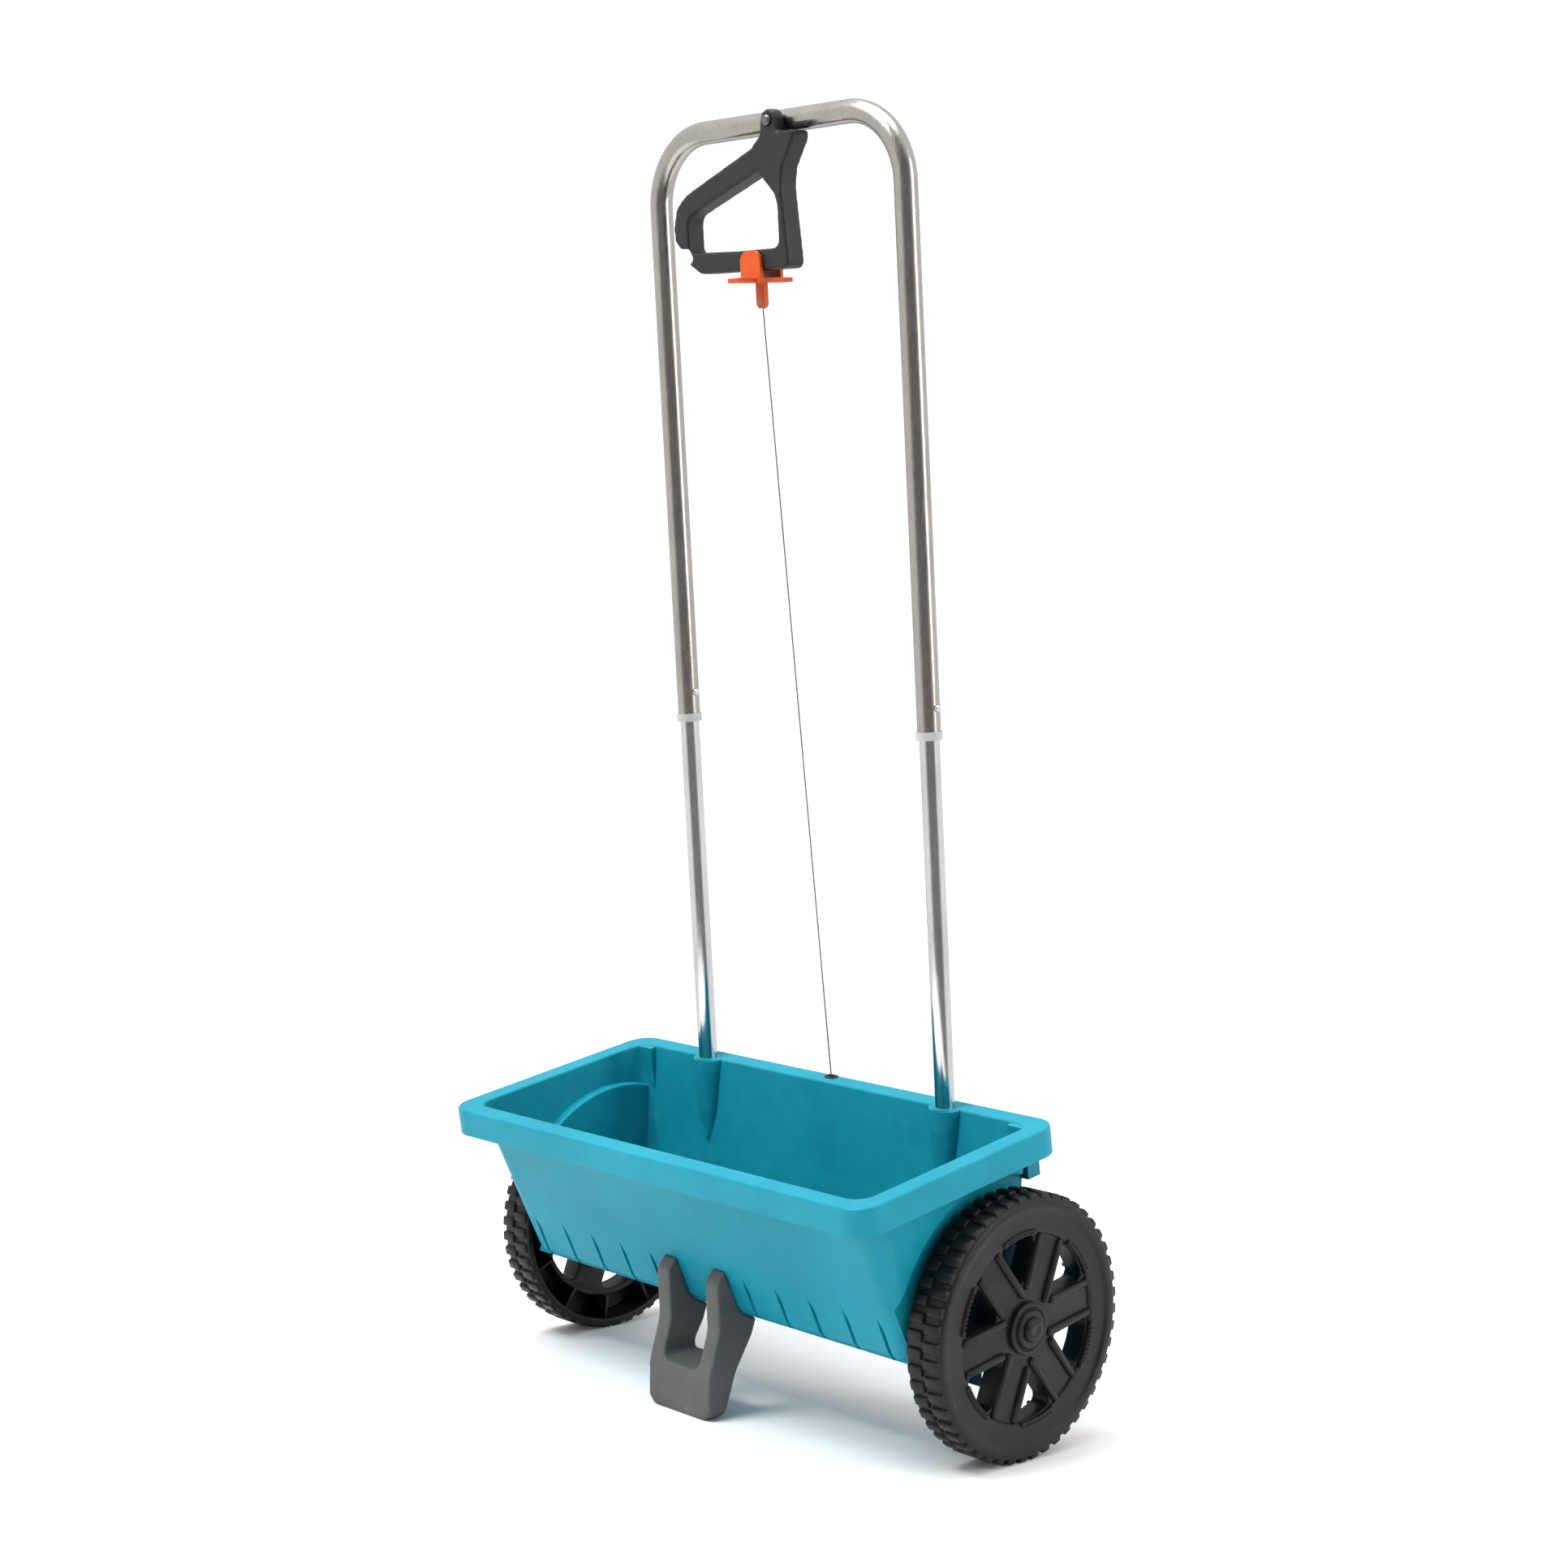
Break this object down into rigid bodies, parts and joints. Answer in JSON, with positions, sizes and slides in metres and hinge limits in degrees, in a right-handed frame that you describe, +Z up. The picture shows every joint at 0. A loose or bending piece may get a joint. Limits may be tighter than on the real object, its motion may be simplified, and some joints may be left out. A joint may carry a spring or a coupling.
{
  "type": "drop spreader",
  "caption": "Two-wheeled garden drop spreader: open turquoise hopper, tall steel tube handle, squeeze lever pulling a wire to the shutter under the trough, grey parking foot.",
  "frame": {"origin": "on the ground, under the middle of the bounding box, with the spreader parked on its wheels and foot", "axes": "+X towards the driven wheel, -Y towards the front where the foot is, +Z up"},
  "size_m": [0.573, 0.2998, 1.1165],
  "materials": {
    "turquoise_plastic": "satin",
    "black_plastic": "satin",
    "grey_plastic": "matte",
    "orange_plastic": "satin",
    "white_plastic": "satin",
    "satin_tube": "satin",
    "bright_tube": "polished",
    "zinc_steel": "zinc plated",
    "wire_steel": "bright wire"
  },
  "bodies": {
    "chassis": {"hopper": "turquoise_plastic", "foot": "grey_plastic", "foot_screws": "zinc_steel", "socket_screws": "zinc_steel", "guide_straps": "zinc_steel", "return_springs": "zinc_steel", "lower_tube_left": "bright_tube", "lower_tube_right": "bright_tube", "upper_tube": "satin_tube", "tube_collar_left": "white_plastic", "tube_collar_right": "white_plastic", "axle_bush_left": "black_plastic", "axle_bush_right": "black_plastic", "rim_grommet": "black_plastic", "pivot_bolt": "zinc_steel", "pivot_nut": "zinc_steel", "bar_saddle": "zinc_steel", "button_spring_left": "zinc_steel", "button_spring_right": "zinc_steel"},
    "drive_wheel": {"wheel_right": "black_plastic", "hub_cap_right": "black_plastic", "axle_shaft": "zinc_steel", "agitator_sleeve": "black_plastic", "agitator_fingers": "black_plastic", "drive_pin": "zinc_steel", "retaining_ring": "zinc_steel"},
    "free_wheel": {"wheel_left": "black_plastic", "hub_cap_left": "black_plastic"},
    "lever": {"squeeze_lever": "black_plastic", "wire_clip": "orange_plastic"},
    "wire_up": {"upper_wire": "wire_steel"},
    "wire_down": {"lower_wire": "wire_steel"},
    "shutter": {"shutter_plate": "black_plastic", "shutter_arm": "black_plastic"},
    "button_left": {"snap_button_left": "zinc_steel"},
    "button_right": {"snap_button_right": "zinc_steel"}
  },
  "joints": [
    {"name": "drive_wheel_spin", "type": "hinge", "parent": "chassis", "child": "drive_wheel", "pos_m": [0, 0.03788, 0.112], "axis": [1, 0, 0], "continuous": true},
    {"name": "free_wheel_spin", "type": "hinge", "parent": "chassis", "child": "free_wheel", "pos_m": [0, 0.03788, 0.112], "axis": [1, 0, 0], "continuous": true},
    {"name": "lever_squeeze", "type": "hinge", "parent": "chassis", "child": "lever", "pos_m": [0.0144, -0.04081, 1.10519], "axis": [0, 0.9937, 0.1119], "range_deg": [0, 18], "stiffness_Nm_per_rad": 4, "springref_deg": -8.59},
    {"name": "upper_wire_swing", "type": "hinge", "parent": "lever", "child": "wire_up", "pos_m": [-0.013, -0.02399, 0.95583], "axis": [0, 0.9937, 0.1119], "range_deg": [-21.69, 0]},
    {"name": "lower_wire_pull", "type": "slide", "parent": "chassis", "child": "wire_down", "axis": [0, -0.1669, 0.986], "range_m": [0, 0.01811]},
    {"name": "shutter_open", "type": "hinge", "parent": "chassis", "child": "shutter", "pos_m": [0, 0.03788, 0.112], "axis": [1, 0, 0], "range_deg": [0, 15.51], "deforming": ["return_springs"]},
    {"name": "snap_button_left_press", "type": "slide", "parent": "chassis", "child": "button_left", "axis": [-1, 0, 0], "range_m": [0, 0.003], "stiffness_N_per_m": 900, "springref_m": -0.0015, "deforming": ["button_spring_left"]},
    {"name": "snap_button_right_press", "type": "slide", "parent": "chassis", "child": "button_right", "axis": [-1, 0, 0], "range_m": [0, 0.003], "stiffness_N_per_m": 900, "springref_m": -0.0015, "deforming": ["button_spring_right"]}
  ],
  "couplings": [
    {"joint": "upper_wire_swing", "follows": "lever_squeeze", "ratio": -1.2021},
    {"joint": "lower_wire_pull", "follows": "lever_squeeze", "m_per_rad": 0.057577},
    {"joint": "shutter_open", "follows": "lever_squeeze", "ratio": 0.86111}
  ]
}
